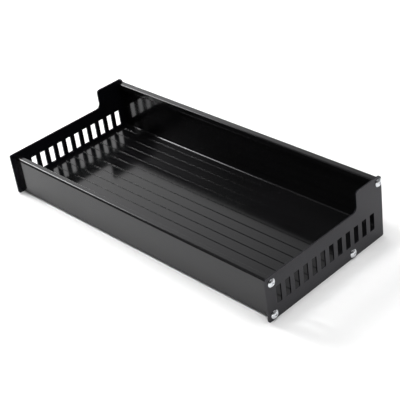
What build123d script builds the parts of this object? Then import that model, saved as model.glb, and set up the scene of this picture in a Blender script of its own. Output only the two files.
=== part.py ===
from build123d import *
import os

# Cable tray: one extruded aluminium channel closed by two slotted sheet end plates.
# Frame: X runs along the tray, the front wall faces -Y, +Z is up.
# The origin is the middle of the footprint, level with the bottom edge of the end plates.

os.makedirs("parts", exist_ok=True)

# overall sizes, mm
tray_length = 400.0        # over the outer faces of the end plates
tray_depth = 178.0         # front edge to back edge of an end plate
plate_back_height = 74.6   # high rear part of an end plate
plate_front_height = 51.5  # low front part
plate_thickness = 1.5
half_length = tray_length / 2
half_depth = tray_depth / 2
profile_length = tray_length - 2 * plate_thickness

# end plate outline
step_y = 137.3 - half_depth   # where the outline steps up to the high rear part
back_top_radius = 5.0
step_top_radius = 3.5
step_foot_radius = 6.0
front_top_radius = 2.0
front_bottom_radius = 3.0
back_bottom_radius = 2.0
plate_edge_break = 0.25

# ventilation slots in each end plate
slot_count = 12
slot_pitch = 13.0
slot_width = 7.0
slot_height = 20.0
slot_middle_z = 25.7
slot_corner_radius = 0.4

# extruded channel
wall = 2.0
skirt_bottom_z = 2.4          # lowest edges of the channel
floor_top_z = 11.1
floor_bottom_z = floor_top_z - wall
front_face_y = 6.0 - half_depth
front_rim_top_z = 46.0
front_rim_depth = 7.2         # front to back, level with the wall's outer face
front_rim_height = 5.0
front_bevel_height = 2.3      # the rim's outer top corner leans back over this height
front_bevel_setback = 1.3
front_bevel_radius = 1.0
back_wall_y = 173.6 - half_depth   # inner face of the back wall
back_wall_thickness = 2.4
back_rim_front_y = 170.0 - half_depth
back_rim_back_y = 177.8 - half_depth
back_rim_top_z = 70.2
back_rim_height = 7.0
inner_corner_radius = 2.0
rim_edge_radius = 0.9
back_rim_front_radius = 1.5   # the rim edge that faces the inside of the tray, on top
joint_overlap = 0.5           # neighbouring areas of the section run this far into each other
match_tolerance = 0.01

# fine grooves along the floor
groove_count = 12
groove_pitch = 13.5
groove_width = 1.2
groove_depth = 0.6

# screw ports: one channel along the profile behind each screw
port_diameter = 3.5
port_slit = 1.4
slit_reach = 10.0             # long enough to break out of any boss
floor_boss_width = 7.0
corner_boss_depth = 5.4
front_port_y = 8.6 - half_depth
front_top_port_z = 43.6
bottom_port_z = 6.1
floor_port_y = 128.1 - half_depth
back_port_y = 172.9 - half_depth
back_port_z = 67.3
screw_points = {
    "front_top": (front_port_y, front_top_port_z),
    "front_bottom": (front_port_y, bottom_port_z),
    "floor": (floor_port_y, bottom_port_z),
    "back_top": (back_port_y, back_port_z),
}
downward_slit = "floor"       # the slit of this port opens downward, the others backward

# truss head cross recess screws
screw_hole_diameter = 4.3
shank_diameter = 3.4
shank_length = 12.0
tip_length = 1.2
tip_diameter = 1.7
head_diameter = 9.5
head_height = 2.6
head_rim_height = 0.5
dome_mid_height = 2.08        # a point halfway up the domed head
dome_mid_radius = 2.565
recess_span = 4.6
recess_width = 1.0
recess_depth = 1.6
recess_lead = 0.3             # the recess cut starts this far outside the head
recess_taper = 14             # degrees
recess_turns = {"front_top": 20, "front_bottom": 65, "floor": 35, "back_top": 5}   # degrees


# ---- extruded channel ----
with BuildPart() as tray_profile:
    with BuildSketch(Plane.YZ.offset(-profile_length / 2)) as section:
        # floor
        with Locations((front_face_y, floor_bottom_z)):
            Rectangle(back_wall_y + back_wall_thickness - front_face_y, wall, align=Align.MIN)
        # front wall with its foot
        foot_height = floor_bottom_z - skirt_bottom_z + joint_overlap
        front_rim_bottom_z = front_rim_top_z - front_rim_height
        front_wall_height = front_rim_bottom_z + joint_overlap - skirt_bottom_z
        with Locations((front_face_y, skirt_bottom_z)):
            Rectangle(wall, front_wall_height, align=Align.MIN)
            Rectangle(corner_boss_depth, foot_height, align=Align.MIN)
        # back wall, down to the same level
        back_rim_bottom_z = back_rim_top_z - back_rim_height
        back_wall_height = back_rim_bottom_z + joint_overlap - skirt_bottom_z
        with Locations((back_wall_y, skirt_bottom_z)):
            Rectangle(back_wall_thickness, back_wall_height, align=Align.MIN)
        # rib under the floor that holds the middle screw port
        with Locations((floor_port_y, skirt_bottom_z)):
            Rectangle(floor_boss_width, foot_height, align=(Align.CENTER, Align.MIN))
        inner_corners = section.vertices().filter_by(
            lambda v: abs(v.Y - floor_top_z) < match_tolerance
            and front_face_y < v.X - match_tolerance
            and v.X < back_wall_y + match_tolerance
        )
        fillet(inner_corners, inner_corner_radius)
        # thick rims along the top of both walls, the front one with a leaning outer corner
        front_rim_inner_y = front_face_y + front_rim_depth
        bevel_foot_z = front_rim_top_z - front_bevel_height
        bevel_top_y = front_face_y + front_bevel_setback
        with BuildLine():
            Polyline(
                (front_face_y, front_rim_bottom_z),
                (front_rim_inner_y, front_rim_bottom_z),
                (front_rim_inner_y, front_rim_top_z),
                (bevel_top_y, front_rim_top_z),
                (front_face_y, bevel_foot_z),
                close=True,
            )
        make_face()
        with Locations((back_rim_front_y, back_rim_top_z)):
            Rectangle(
                back_rim_back_y - back_rim_front_y,
                back_rim_height,
                align=(Align.MIN, Align.MAX),
            )
        rim_corners = {
            (bevel_top_y, front_rim_top_z): front_bevel_radius,
            (front_rim_inner_y, front_rim_top_z): rim_edge_radius,
            (front_rim_inner_y, front_rim_bottom_z): rim_edge_radius,
            (back_rim_front_y, back_rim_top_z): back_rim_front_radius,
            (back_rim_front_y, back_rim_bottom_z): rim_edge_radius,
            (back_rim_back_y, back_rim_top_z): rim_edge_radius,
            (back_rim_back_y, back_rim_bottom_z): rim_edge_radius,
        }
        for (corner_y, corner_z), radius in rim_corners.items():
            corner = section.vertices().sort_by_distance((corner_y, corner_z, 0))[0]
            fillet(corner, radius)
        # grooves along the floor
        with Locations((0, floor_top_z)):
            with GridLocations(groove_pitch, 1, groove_count, 1):
                Rectangle(groove_width, 2 * groove_depth, mode=Mode.SUBTRACT)
        # screw ports, each open along one side
        for place, point in screw_points.items():
            with Locations(point):
                Circle(port_diameter / 2, mode=Mode.SUBTRACT)
                if place == downward_slit:
                    Rectangle(
                        port_slit,
                        slit_reach,
                        align=(Align.CENTER, Align.MAX),
                        mode=Mode.SUBTRACT,
                    )
                else:
                    Rectangle(
                        slit_reach,
                        port_slit,
                        align=(Align.MIN, Align.CENTER),
                        mode=Mode.SUBTRACT,
                    )
    extrude(amount=profile_length)

tray_profile.part.label = "tray_profile"
export_step(tray_profile.part, "parts/tray_profile.step")


# ---- end plates, flat and laser cut ----
outline_points = {
    (-half_depth, 0): front_bottom_radius,
    (half_depth, 0): back_bottom_radius,
    (half_depth, plate_back_height): back_top_radius,
    (step_y, plate_back_height): step_top_radius,
    (step_y, plate_front_height): step_foot_radius,
    (-half_depth, plate_front_height): front_top_radius,
}

for side, inner_x in (("left", -half_length), ("right", half_length - plate_thickness)):
    with BuildPart() as end_plate:
        with BuildSketch(Plane.YZ.offset(inner_x)) as outline:
            with BuildLine():
                Polyline(*outline_points, close=True)
            make_face()
            for (corner_y, corner_z), radius in outline_points.items():
                corner = outline.vertices().sort_by_distance((corner_y, corner_z, 0))[0]
                fillet(corner, radius)
            with Locations((0, slot_middle_z)):
                with GridLocations(slot_pitch, 1, slot_count, 1):
                    RectangleRounded(
                        slot_width,
                        slot_height,
                        slot_corner_radius,
                        mode=Mode.SUBTRACT,
                    )
            with Locations(*screw_points.values()):
                Circle(screw_hole_diameter / 2, mode=Mode.SUBTRACT)
        extrude(amount=plate_thickness)
        flat_faces = end_plate.faces().filter_by(Axis.X)
        outer_edges = [edge for face in flat_faces for edge in face.outer_wire().edges()]
        chamfer(outer_edges, plate_edge_break)
    end_plate.part.label = f"end_plate_{side}"
    export_step(end_plate.part, f"parts/end_plate_{side}.step")


# ---- screws, drawn with the underside of the head at X = 0 and the head towards +X ----
with BuildPart() as screw:
    with BuildSketch(Plane.XY):
        with BuildLine():
            Line((0, 0), (0, head_diameter / 2))
            Line((0, head_diameter / 2), (head_rim_height, head_diameter / 2))
            ThreePointArc(
                (head_rim_height, head_diameter / 2),
                (dome_mid_height, dome_mid_radius),
                (head_height, 0),
            )
            Line((head_height, 0), (0, 0))
        make_face()
    revolve(axis=Axis.X)
    with BuildSketch(Plane.XY):
        with BuildLine():
            Polyline(
                (0, 0),
                (-shank_length, 0),
                (-shank_length, tip_diameter / 2),
                (-shank_length + tip_length, shank_diameter / 2),
                (0, shank_diameter / 2),
                close=True,
            )
        make_face()
    revolve(axis=Axis.X)
    with BuildSketch(Plane.YZ.offset(head_height + recess_lead)):
        Rectangle(recess_span, recess_width)
        Rectangle(recess_width, recess_span)
    extrude(amount=-recess_depth - recess_lead, taper=recess_taper, mode=Mode.SUBTRACT)

for side, end_x, heading in (("left", -half_length, 180), ("right", half_length, 0)):
    for place, (screw_y, screw_z) in screw_points.items():
        seat = Location((end_x, screw_y, screw_z), (0, 0, heading))
        spin = Location((0, 0, 0), (recess_turns[place], 0, 0))
        with BuildPart() as placed:
            with Locations(seat * spin):
                add(screw.part)
        placed.part.label = f"screw_{side}_{place}"
        export_step(placed.part, f"parts/screw_{side}_{place}.step")
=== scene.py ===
import math

import bmesh
import bpy
from mathutils import Matrix, Vector


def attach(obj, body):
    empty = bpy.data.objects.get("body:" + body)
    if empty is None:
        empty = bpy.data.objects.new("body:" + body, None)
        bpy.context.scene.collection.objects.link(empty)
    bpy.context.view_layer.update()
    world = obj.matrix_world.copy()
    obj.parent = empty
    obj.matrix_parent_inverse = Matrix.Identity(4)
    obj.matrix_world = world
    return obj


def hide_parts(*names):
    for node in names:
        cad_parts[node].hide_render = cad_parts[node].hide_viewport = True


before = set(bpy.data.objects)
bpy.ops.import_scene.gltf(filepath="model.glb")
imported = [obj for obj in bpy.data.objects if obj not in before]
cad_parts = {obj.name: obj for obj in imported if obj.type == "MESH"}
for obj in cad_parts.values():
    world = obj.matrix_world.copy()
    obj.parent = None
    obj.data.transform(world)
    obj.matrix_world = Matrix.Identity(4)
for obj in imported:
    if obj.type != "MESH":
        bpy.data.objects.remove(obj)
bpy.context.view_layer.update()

# ---------------------------------------------------------------------------------------------
# The channel: one length of aluminium extrusion with a low front wall, a flat floor with fine
# grooves along it and a high back wall. A thick rim runs along the top of each wall. It is cut
# to length, coated black, and screwed between the end plates through open ports in its section.
# ---------------------------------------------------------------------------------------------
mm = 0.001
hair = 0.02 * mm

channel_length = 397.0 * mm
floor_top = 11.1 * mm
floor_bottom = 9.1 * mm
skirt_bottom = 2.4 * mm
front_wall_outer = -83.0 * mm
front_wall_inner = -81.0 * mm
front_foot_inner = -77.6 * mm
front_rim_inner = -75.8 * mm
front_bevel_foot = 43.7 * mm
front_bevel_top_y = -81.7 * mm
front_bevel_rounding = 1.0 * mm
front_rim_bottom = 41.0 * mm
front_rim_top = 46.0 * mm
rib_front = 35.6 * mm
rib_back = 42.6 * mm
back_wall_inner = 84.6 * mm
back_wall_outer = 87.0 * mm
back_rim_inner = 81.0 * mm
back_rim_outer = 88.8 * mm
back_rim_bottom = 63.2 * mm
back_rim_top = 70.2 * mm
back_rim_rounding = 1.5 * mm
rim_rounding = 0.9 * mm
floor_corner_rounding = 2.0 * mm
groove_count = 12
groove_pitch = 13.5 * mm
groove_width = 1.2 * mm
groove_depth = 0.6 * mm
groove_rounding = 0.15 * mm
port_radius = 1.75 * mm
port_slit = 1.4 * mm
die_edge = 0.1 * mm
slit_reach = 8 * mm
cutter_length = 1.1 * channel_length

# where the screws go, on the end plates' flat: (Y, Z)
screw_places = {
    "front_top": (-80.4 * mm, 43.6 * mm),
    "front_bottom": (-80.4 * mm, 6.1 * mm),
    "floor": (39.1 * mm, 6.1 * mm),
    "back_top": (83.9 * mm, 67.3 * mm),
}


def trace_outline(name, x, corners):
    """Draws a closed outline at one X, corner by corner, fills it and leaves it in edit mode."""
    bpy.ops.object.select_all(action="DESELECT")
    bpy.ops.mesh.primitive_plane_add(size=mm, location=(x, *corners[0]))
    piece = bpy.context.active_object
    piece.name = name
    piece.data.name = name
    bpy.ops.object.mode_set(mode="EDIT")
    bpy.ops.mesh.select_mode(type="VERT")
    bpy.ops.mesh.merge(type="CENTER")
    for (y, z), (next_y, next_z) in zip(corners, [*corners[1:], corners[0]]):
        step = {"value": (0, next_y - y, next_z - z)}
        bpy.ops.mesh.extrude_region_move(TRANSFORM_OT_translate=step)
    bpy.ops.mesh.select_all(action="SELECT")
    bpy.ops.mesh.remove_doubles(threshold=hair)
    bpy.ops.mesh.edge_face_add()
    return piece


def thicken(length):
    """Extrudes the traced outline along X."""
    bpy.ops.mesh.select_all(action="SELECT")
    bpy.ops.mesh.extrude_region_move(TRANSFORM_OT_translate={"value": (length, 0, 0)})
    bpy.ops.mesh.select_all(action="SELECT")
    bpy.ops.mesh.normals_make_consistent(inside=False)


def round_long_edges(piece, corners, radius, segments):
    """Rounds the edges that run along X through these (Y, Z) corners."""
    bpy.ops.mesh.select_mode(type="EDGE")
    bpy.ops.mesh.select_all(action="DESELECT")
    mesh = bmesh.from_edit_mesh(piece.data)
    place = piece.matrix_world
    for edge in mesh.edges:
        start, end = (place @ v.co for v in edge.verts)
        if abs(start.x - end.x) > hair:
            edge.select = any(
                abs(start.y - y) < hair and abs(start.z - z) < hair for y, z in corners
            )
    bmesh.update_edit_mesh(piece.data)
    bpy.ops.mesh.bevel(offset=radius, segments=segments, profile=0.5, affect="EDGES")


def apply_modifier(piece, kind, **settings):
    """Adds one modifier to a piece and applies it."""
    bpy.ops.object.select_all(action="DESELECT")
    piece.select_set(True)
    bpy.context.view_layer.objects.active = piece
    modifier = piece.modifiers.new(kind.lower(), kind)
    for key, value in settings.items():
        setattr(modifier, key, value)
    bpy.ops.object.modifier_apply(modifier=modifier.name)


def cut_away(piece, cutter):
    """Subtracts the cutter from a piece and throws the cutter away."""
    apply_modifier(piece, "BOOLEAN", operation="DIFFERENCE", solver="EXACT", object=cutter)
    bpy.data.objects.remove(cutter)


def rod_along_x(radius, length, y, z, sides=48):
    """A round cutter along X."""
    bpy.ops.object.select_all(action="DESELECT")
    bpy.ops.mesh.primitive_cylinder_add(
        vertices=sides, radius=radius, depth=length, location=(0, y, z),
        rotation=(0, math.radians(90), 0),
    )
    return bpy.context.active_object


def block(size_x, size_y, size_z, x, y, z):
    """A square cutter, given by its size and its middle."""
    bpy.ops.object.select_all(action="DESELECT")
    bpy.ops.mesh.primitive_cube_add(size=1, location=(x, y, z), scale=(size_x, size_y, size_z))
    cutter = bpy.context.active_object
    bpy.ops.object.transform_apply(location=False, rotation=True, scale=True)
    return cutter


def settle(piece):
    """Puts the finished piece's origin at the frame's origin, with its place in its mesh."""
    bpy.ops.object.select_all(action="DESELECT")
    piece.select_set(True)
    bpy.context.view_layer.objects.active = piece
    bpy.ops.object.transform_apply(location=True, rotation=True, scale=True)


def soften_edges(piece, width, segments, sharper_than=28):
    """Breaks every sharp edge, and shades the faces flat with smooth turns between them."""
    apply_modifier(
        piece, "BEVEL", width=width, segments=segments, limit_method="ANGLE",
        angle_limit=math.radians(sharper_than), use_clamp_overlap=True,
        miter_outer="MITER_ARC",
    )
    bpy.ops.object.shade_smooth_by_angle(angle=math.radians(sharper_than + 8))
    apply_modifier(piece, "WEIGHTED_NORMAL", keep_sharp=True, weight=80)


channel = trace_outline(
    "channel",
    -channel_length / 2,
    [
        (front_wall_outer, skirt_bottom),
        (front_foot_inner, skirt_bottom),
        (front_foot_inner, floor_bottom),
        (rib_front, floor_bottom),
        (rib_front, skirt_bottom),
        (rib_back, skirt_bottom),
        (rib_back, floor_bottom),
        (back_wall_inner, floor_bottom),
        (back_wall_inner, skirt_bottom),
        (back_wall_outer, skirt_bottom),
        (back_wall_outer, back_rim_bottom),
        (back_rim_outer, back_rim_bottom),
        (back_rim_outer, back_rim_top),
        (back_rim_inner, back_rim_top),
        (back_rim_inner, back_rim_bottom),
        (back_wall_inner, back_rim_bottom),
        (back_wall_inner, floor_top),
        (front_wall_inner, floor_top),
        (front_wall_inner, front_rim_bottom),
        (front_rim_inner, front_rim_bottom),
        (front_rim_inner, front_rim_top),
        (front_bevel_top_y, front_rim_top),
        (front_wall_outer, front_bevel_foot),
    ],
)
thicken(channel_length)
round_long_edges(
    channel,
    [(front_rim_inner, front_rim_bottom), (front_rim_inner, front_rim_top)],
    rim_rounding,
    8,
)
round_long_edges(channel, [(front_bevel_top_y, front_rim_top)], front_bevel_rounding, 8)
round_long_edges(channel, [(back_rim_inner, back_rim_top)], back_rim_rounding, 8)
back_rim_others = [
    (back_rim_inner, back_rim_bottom),
    (back_rim_outer, back_rim_bottom),
    (back_rim_outer, back_rim_top),
]
round_long_edges(channel, back_rim_others, rim_rounding, 8)
round_long_edges(
    channel,
    [(front_wall_inner, floor_top), (back_wall_inner, floor_top)],
    floor_corner_rounding,
    10,
)
bpy.ops.object.mode_set(mode="OBJECT")

first_groove_y = -groove_pitch * (groove_count - 1) / 2
grooves = block(
    cutter_length, groove_width, 2 * groove_depth, 0, first_groove_y, floor_top
)
apply_modifier(
    grooves, "ARRAY", count=groove_count, use_relative_offset=False, use_constant_offset=True,
    constant_offset_displace=(0, groove_pitch, 0),
)
cut_away(channel, grooves)
bpy.ops.object.mode_set(mode="EDIT")
groove_edges = [
    (first_groove_y + number * groove_pitch + side * groove_width / 2, floor_top)
    for number in range(groove_count) for side in (-1, 1)
]
round_long_edges(channel, groove_edges, groove_rounding, 4)
bpy.ops.object.mode_set(mode="OBJECT")
for place, (port_y, port_z) in screw_places.items():
    cut_away(channel, rod_along_x(port_radius, cutter_length, port_y, port_z, 40))
    if place == "floor":
        slit = block(cutter_length, port_slit, slit_reach, 0, port_y, port_z - slit_reach / 2)
    else:
        slit = block(cutter_length, slit_reach, port_slit, 0, port_y + slit_reach / 2, port_z)
    cut_away(channel, slit)
settle(channel)
soften_edges(channel, die_edge, 2)


def new_material(name, roughness):
    """A material with its principled shader, and the nodes it will read Object coordinates from."""
    material = bpy.data.materials.new(name)
    material.use_nodes = True
    nodes = material.node_tree.nodes
    shader = nodes["Principled BSDF"]
    shader.inputs["Roughness"].default_value = roughness
    place = nodes.new("ShaderNodeTexCoord")
    return material, shader, place.outputs["Object"]


def grain(material, place, stretch, scale, detail=4.0, roughness=0.5):
    """Noise on Object coordinates, stretched along the axes by the given factors."""
    nodes, links = material.node_tree.nodes, material.node_tree.links
    mapping = nodes.new("ShaderNodeMapping")
    mapping.inputs["Scale"].default_value = stretch
    noise = nodes.new("ShaderNodeTexNoise")
    noise.inputs["Scale"].default_value = scale
    noise.inputs["Detail"].default_value = detail
    noise.inputs["Roughness"].default_value = roughness
    links.new(place, mapping.inputs["Vector"])
    links.new(mapping.outputs["Vector"], noise.inputs["Vector"])
    return noise.outputs["Fac"]


def spread(material, value, low, high, socket):
    """Spreads a noise value over a range and feeds it to a socket."""
    nodes, links = material.node_tree.nodes, material.node_tree.links
    span = nodes.new("ShaderNodeMapRange")
    span.inputs["From Min"].default_value = 0.3
    span.inputs["From Max"].default_value = 0.7
    span.inputs["To Min"].default_value = low
    span.inputs["To Max"].default_value = high
    links.new(value, span.inputs["Value"])
    links.new(span.outputs["Result"], socket)


def tint(material, value, dark, light, socket):
    """Runs a colour from dark to light with a noise value."""
    nodes, links = material.node_tree.nodes, material.node_tree.links
    ramp = nodes.new("ShaderNodeValToRGB")
    ramp.color_ramp.elements[0].position = 0.3
    ramp.color_ramp.elements[0].color = (*dark, 1)
    ramp.color_ramp.elements[1].position = 0.7
    ramp.color_ramp.elements[1].color = (*light, 1)
    links.new(value, ramp.inputs["Fac"])
    links.new(ramp.outputs["Color"], socket)


def relief(material, shader, heights):
    """Chains bumps onto the shader's normal: each is (height value, depth in metres, strength)."""
    nodes, links = material.node_tree.nodes, material.node_tree.links
    normal = None
    for value, depth, strength in heights:
        bump = nodes.new("ShaderNodeBump")
        bump.inputs["Distance"].default_value = depth
        bump.inputs["Strength"].default_value = strength
        links.new(value, bump.inputs["Height"])
        if normal is not None:
            links.new(normal, bump.inputs["Normal"])
        normal = bump.outputs["Normal"]
    links.new(normal, shader.inputs["Normal"])


channel_coat, shader, place = new_material("channel_black_coat", 0.12)
shader.inputs["IOR"].default_value = 1.45
shader.inputs["Specular Tint"].default_value = (0.97, 0.97, 1, 1)
die_lines = grain(channel_coat, place, (2, 900, 900), 1.0, 3.0, 0.6)
peel = grain(channel_coat, place, (1, 1, 1), 700, 2.0, 0.5)
clouds = grain(channel_coat, place, (0.4, 1, 1), 30, 3.0, 0.5)
tint(channel_coat, clouds, (0.0030, 0.0030, 0.0032), (0.0042, 0.0042, 0.0046),
     shader.inputs["Base Color"])
spread(channel_coat, clouds, 0.10, 0.15, shader.inputs["Roughness"])
relief(channel_coat, shader, [(die_lines, 0.002 * mm, 0.2), (peel, 0.004 * mm, 0.15)])
channel.data.materials.append(channel_coat)

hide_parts("tray_profile")
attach(channel, "root")

# ---------------------------------------------------------------------------------------------
# The end plates: two mirrored blanks of flat sheet, low in front and stepped up at the back,
# with twelve upright slots and four screw holes. They are laser cut, their edges are broken,
# and they are powder coated black. They reach below the channel, so the tray stands on them.
# ---------------------------------------------------------------------------------------------
plate_thickness = 1.5 * mm
plate_front = -89.0 * mm
plate_back = 89.0 * mm
plate_low_top = 51.5 * mm
plate_high_top = 74.6 * mm
step_y = 48.3 * mm
slot_count = 12
slot_pitch = 13.0 * mm
slot_width = 7.0 * mm
slot_height = 20.0 * mm
slot_middle = 25.7 * mm
slot_rounding = 0.4 * mm
hole_radius = 2.15 * mm
hole_cutter_length = 500 * mm
plate_edge = 0.2 * mm
plate_corners = {
    (plate_front, 0.0): 3.0 * mm,
    (plate_back, 0.0): 2.0 * mm,
    (plate_back, plate_high_top): 5.0 * mm,
    (step_y, plate_high_top): 3.5 * mm,
    (step_y, plate_low_top): 6.0 * mm,
    (plate_front, plate_low_top): 2.0 * mm,
}

plate_coat, shader, place = new_material("plate_black_powder_coat", 0.2)
shader.inputs["IOR"].default_value = 1.41
shader.inputs["Specular Tint"].default_value = (0.94, 0.91, 1, 1)
peel = grain(plate_coat, place, (1, 1, 1), 900, 3.0, 0.55)
clouds = grain(plate_coat, place, (1, 1, 1), 45, 3.0, 0.5)
tint(plate_coat, clouds, (0.0030, 0.0031, 0.0044), (0.0042, 0.0043, 0.0062),
     shader.inputs["Base Color"])
spread(plate_coat, clouds, 0.17, 0.24, shader.inputs["Roughness"])
relief(plate_coat, shader, [(peel, 0.008 * mm, 0.25)])

for side, outer_x, inward in (("left", -200 * mm, 1), ("right", 200 * mm, -1)):
    plate = trace_outline(f"plate_{side}", outer_x, list(plate_corners))
    thicken(inward * plate_thickness)
    for corner, rounding in plate_corners.items():
        round_long_edges(plate, [corner], rounding, 8)
    bpy.ops.object.mode_set(mode="OBJECT")
    slot_x = outer_x + inward * plate_thickness / 2
    slots = block(
        4 * plate_thickness, slot_width, slot_height,
        slot_x, -slot_pitch * (slot_count - 1) / 2, slot_middle,
    )
    bpy.ops.object.mode_set(mode="EDIT")
    slot_corners = [
        (slots.location.y + sign_y * slot_width / 2, slot_middle + sign_z * slot_height / 2)
        for sign_y in (-1, 1) for sign_z in (-1, 1)
    ]
    round_long_edges(slots, slot_corners, slot_rounding, 3)
    bpy.ops.object.mode_set(mode="OBJECT")
    apply_modifier(
        slots, "ARRAY", count=slot_count, use_relative_offset=False, use_constant_offset=True,
        constant_offset_displace=(0, slot_pitch, 0),
    )
    cut_away(plate, slots)
    for hole_y, hole_z in screw_places.values():
        cut_away(plate, rod_along_x(hole_radius, hole_cutter_length, hole_y, hole_z, 40))
    settle(plate)
    soften_edges(plate, plate_edge, 2)
    plate.data.materials.append(plate_coat)
    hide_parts(f"end_plate_{side}")
    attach(plate, "root")

# ---------------------------------------------------------------------------------------------
# The screws: eight plated steel screws with low domed heads and a cross recess, four through
# each end plate into the channel's ports. Cold headed, thread rolled, and zinc plated bright.
# ---------------------------------------------------------------------------------------------
head_radius = 4.75 * mm
head_height = 2.58 * mm
head_rim = 0.5 * mm
shank_radius = 1.7 * mm
shank_length = 12.0 * mm
tip_length = 1.2 * mm
tip_radius = 0.85 * mm
recess_span = 4.6 * mm
recess_width = 1.0 * mm
recess_depth = 1.6 * mm
recess_floor_span = 0.45
recess_floor_width = 0.55
head_edge = 0.07 * mm
recess_turns = {"front_top": 20, "front_bottom": 65, "floor": 35, "back_top": 5}
dome_steps = 10

# the dome is part of a sphere that meets the rim and the head's full height
dome_rise = head_height - head_rim
dome_radius = (head_radius**2 + dome_rise**2) / (2 * dome_rise)
dome_angle = math.asin(head_radius / dome_radius)
screw_profile = [
    (-shank_length, 0.0),
    (-shank_length, tip_radius),
    (-shank_length + tip_length, shank_radius),
    (0.0, shank_radius),
    (0.0, head_radius),
    (head_rim, head_radius),
]
for step in range(1, dome_steps + 1):
    angle = dome_angle * (1 - step / dome_steps)
    screw_profile.append(
        (head_height - dome_radius * (1 - math.cos(angle)), dome_radius * math.sin(angle))
    )

bpy.ops.object.select_all(action="DESELECT")
bpy.ops.mesh.primitive_plane_add(size=mm, location=(screw_profile[0][0], 0, 0))
screw = bpy.context.active_object
screw.name = "screw"
bpy.ops.object.mode_set(mode="EDIT")
bpy.ops.mesh.select_mode(type="VERT")
bpy.ops.mesh.merge(type="CENTER")
for (x, r), (next_x, next_r) in zip(screw_profile, screw_profile[1:]):
    bpy.ops.mesh.extrude_region_move(TRANSFORM_OT_translate={"value": (next_x - x, next_r - r, 0)})
bpy.ops.mesh.select_all(action="SELECT")
bpy.ops.mesh.spin(steps=64, angle=math.tau, center=(0, 0, 0), axis=(1, 0, 0))
bpy.ops.mesh.select_all(action="SELECT")
bpy.ops.mesh.remove_doubles(threshold=0.1 * hair)
bpy.ops.mesh.normals_make_consistent(inside=False)
bpy.ops.object.mode_set(mode="OBJECT")
settle(screw)

# the recess: two crossed wings that narrow with depth
for turn in (0, 90):
    wing = block(2 * recess_depth, recess_span, recess_width, head_height, 0, 0)
    bpy.ops.object.mode_set(mode="EDIT")
    bpy.ops.mesh.select_mode(type="FACE")
    bpy.ops.mesh.select_all(action="DESELECT")
    mesh = bmesh.from_edit_mesh(wing.data)
    for face in mesh.faces:
        face.select = face.normal.x < -0.9
    bmesh.update_edit_mesh(wing.data)
    bpy.ops.transform.resize(value=(1, recess_floor_span, recess_floor_width))
    bpy.ops.object.mode_set(mode="OBJECT")
    wing.rotation_euler = (math.radians(turn), 0, 0)
    settle(wing)
    cut_away(screw, wing)
soften_edges(screw, head_edge, 2)

screw_plating, shader, place = new_material("screw_bright_zinc", 0.2)
shader.inputs["Metallic"].default_value = 1.0
swirl = grain(screw_plating, place, (1, 1, 1), 1500, 3.0, 0.6)
tint(screw_plating, swirl, (0.72, 0.74, 0.78), (0.86, 0.87, 0.88), shader.inputs["Base Color"])
spread(screw_plating, swirl, 0.14, 0.26, shader.inputs["Roughness"])
relief(screw_plating, shader, [(swirl, 0.01 * mm, 0.3)])
screw.data.materials.append(screw_plating)

for side, end_x, heading in (("left", -200 * mm, 180), ("right", 200 * mm, 0)):
    for spot, (screw_y, screw_z) in screw_places.items():
        fitted = screw.copy()
        fitted.data = screw.data.copy()
        fitted.name = fitted.data.name = f"fitted_screw_{side}_{spot}"
        bpy.context.scene.collection.objects.link(fitted)
        fitted.matrix_world = (
            Matrix.Translation((end_x, screw_y, screw_z))
            @ Matrix.Rotation(math.radians(heading), 4, "Z")
            @ Matrix.Rotation(math.radians(recess_turns[spot]), 4, "X")
        )
        settle(fitted)
        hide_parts(f"screw_{side}_{spot}")
        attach(fitted, "root")
bpy.data.objects.remove(screw)

# ---------------------------------------------------------------------------------------------
# The studio: a plain pale floor, a pale surround that is brighter towards the left end, a soft
# lamp overhead, a large softbox at the front left, and the camera.
# ---------------------------------------------------------------------------------------------
floor_size = 12
lamp_place = (0.25, 0.0, 1.3)
lamp_width = 1.1
lamp_height = 1.3
lamp_watts = 17
softbox_width = 0.9
softbox_height = 0.56
softbox_place = (-0.95, -0.257, 0.76)
softbox_tilt = 42
softbox_strength = 17.0
camera_lens = 96.2


def remap(tree, value, from_range, to_range, smooth=False):
    """Maps a shader value from one range to another, held at both ends."""
    span = tree.nodes.new("ShaderNodeMapRange")
    if smooth:
        span.interpolation_type = "SMOOTHSTEP"
    span.inputs["From Min"].default_value, span.inputs["From Max"].default_value = from_range
    span.inputs["To Min"].default_value, span.inputs["To Max"].default_value = to_range
    tree.links.new(value, span.inputs["Value"])
    return span.outputs["Result"]


def multiply(tree, first, second):
    """The product of two shader values."""
    product = tree.nodes.new("ShaderNodeMath")
    product.operation = "MULTIPLY"
    tree.links.new(first, product.inputs[0])
    tree.links.new(second, product.inputs[1])
    return product.outputs["Value"]


bpy.ops.object.select_all(action="DESELECT")
bpy.ops.mesh.primitive_plane_add(size=floor_size, location=(0, 0, 0))
floor = bpy.context.active_object
floor.name = "studio_floor"
floor_paint = bpy.data.materials.new("studio_floor_paint")
floor_paint.use_nodes = True
floor_shader = floor_paint.node_tree.nodes["Principled BSDF"]
floor_shader.inputs["Base Color"].default_value = (0.9, 0.9, 0.9, 1)
floor_shader.inputs["Roughness"].default_value = 0.9
floor_shader.inputs["Specular IOR Level"].default_value = 0.0
floor.data.materials.append(floor_paint)

world = bpy.data.worlds.new("studio_surround")
bpy.context.scene.world = world
world.use_nodes = True
tree = world.node_tree
background = tree.nodes["Background"]
background.inputs["Color"].default_value = (1, 1, 1, 1)
direction = tree.nodes.new("ShaderNodeTexCoord")
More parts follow.
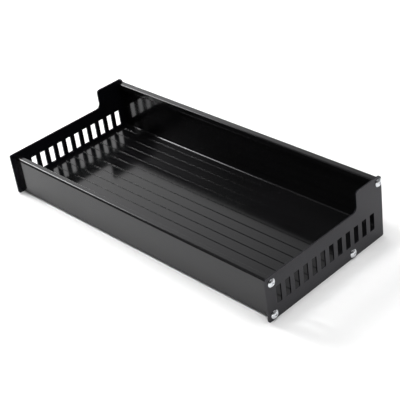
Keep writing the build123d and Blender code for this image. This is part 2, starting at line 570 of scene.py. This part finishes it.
# the wall behind and to the left is the brightest, low down, and the front side is dim
lean = tree.nodes.new("ShaderNodeVectorMath")
lean.operation = "DOT_PRODUCT"
lean.inputs[1].default_value = (-2.96, -1.85, -3.09)
tree.links.new(direction.outputs["Generated"], lean.inputs[0])
level = remap(tree, lean.outputs["Value"], (-1.53, 0.62), (0.25, 2.4))
facing = tree.nodes.new("ShaderNodeSeparateXYZ")
tree.links.new(direction.outputs["Generated"], facing.inputs[0])
behind = remap(tree, facing.outputs["Y"], (-0.25, 0.35), (0.12, 1.0), smooth=True)
tree.links.new(multiply(tree, level, behind), background.inputs["Strength"])


def soft_lamp(name, place, aim, width, height, watts):
    """A large rectangular soft lamp at a place, turned towards a point."""
    lamp = bpy.data.lights.new(name, "AREA")
    lamp.shape = "RECTANGLE"
    lamp.size = width
    lamp.size_y = height
    lamp.energy = watts
    holder = bpy.data.objects.new(name, lamp)
    bpy.context.scene.collection.objects.link(holder)
    holder.location = place
    holder.rotation_euler = (Vector(aim) - Vector(place)).to_track_quat("-Z", "Y").to_euler()
    return holder


soft_lamp("lamp_overhead", lamp_place, (0, 0, 0), lamp_width, lamp_height, lamp_watts)

# the front left softbox, brighter towards its far left side and its upper edge
bpy.ops.object.select_all(action="DESELECT")
bpy.ops.mesh.primitive_plane_add(size=1, location=(0, 0, 0))
softbox = bpy.context.active_object
softbox.name = "softbox_front_left"
softbox.data.transform(Matrix.Diagonal((softbox_width, softbox_height, 1, 1)))
softbox.matrix_world = (
    Matrix.Translation(softbox_place) @ Matrix.Rotation(math.radians(softbox_tilt), 4, "X")
)
softbox_glow = bpy.data.materials.new("softbox_glow")
softbox_glow.use_nodes = True
tree = softbox_glow.node_tree
tree.nodes.remove(tree.nodes["Principled BSDF"])
emission = tree.nodes.new("ShaderNodeEmission")
place = tree.nodes.new("ShaderNodeTexCoord")
split = tree.nodes.new("ShaderNodeSeparateXYZ")
tree.links.new(place.outputs["Object"], split.inputs[0])
fade = remap(tree, split.outputs["X"], (0.32, -0.10), (0.1, softbox_strength))
rise = remap(tree, split.outputs["Y"], (-0.28, 0.10), (0.3, 2.0))
tree.links.new(multiply(tree, fade, rise), emission.inputs["Strength"])
tree.links.new(emission.outputs[0], tree.nodes["Material Output"].inputs["Surface"])
softbox.data.materials.append(softbox_glow)
softbox.visible_camera = False

camera_data = bpy.data.cameras.new("camera")
camera_data.sensor_width = 36
camera_data.lens = camera_lens
camera_data.shift_x = -0.0995
camera_data.shift_y = -0.0245
camera = bpy.data.objects.new("camera", camera_data)
bpy.context.scene.collection.objects.link(camera)
camera.matrix_world = Matrix(
    (
        (0.7217, -0.3081, 0.6198, 0.7686),
        (0.6845, 0.4508, -0.5729, -0.6312),
        (-0.1029, 0.8378, 0.5363, 0.6521),
        (0, 0, 0, 1),
    )
)
bpy.context.scene.camera = camera
bpy.context.scene.view_settings.view_transform = "Standard"
bpy.context.scene.view_settings.look = "None"
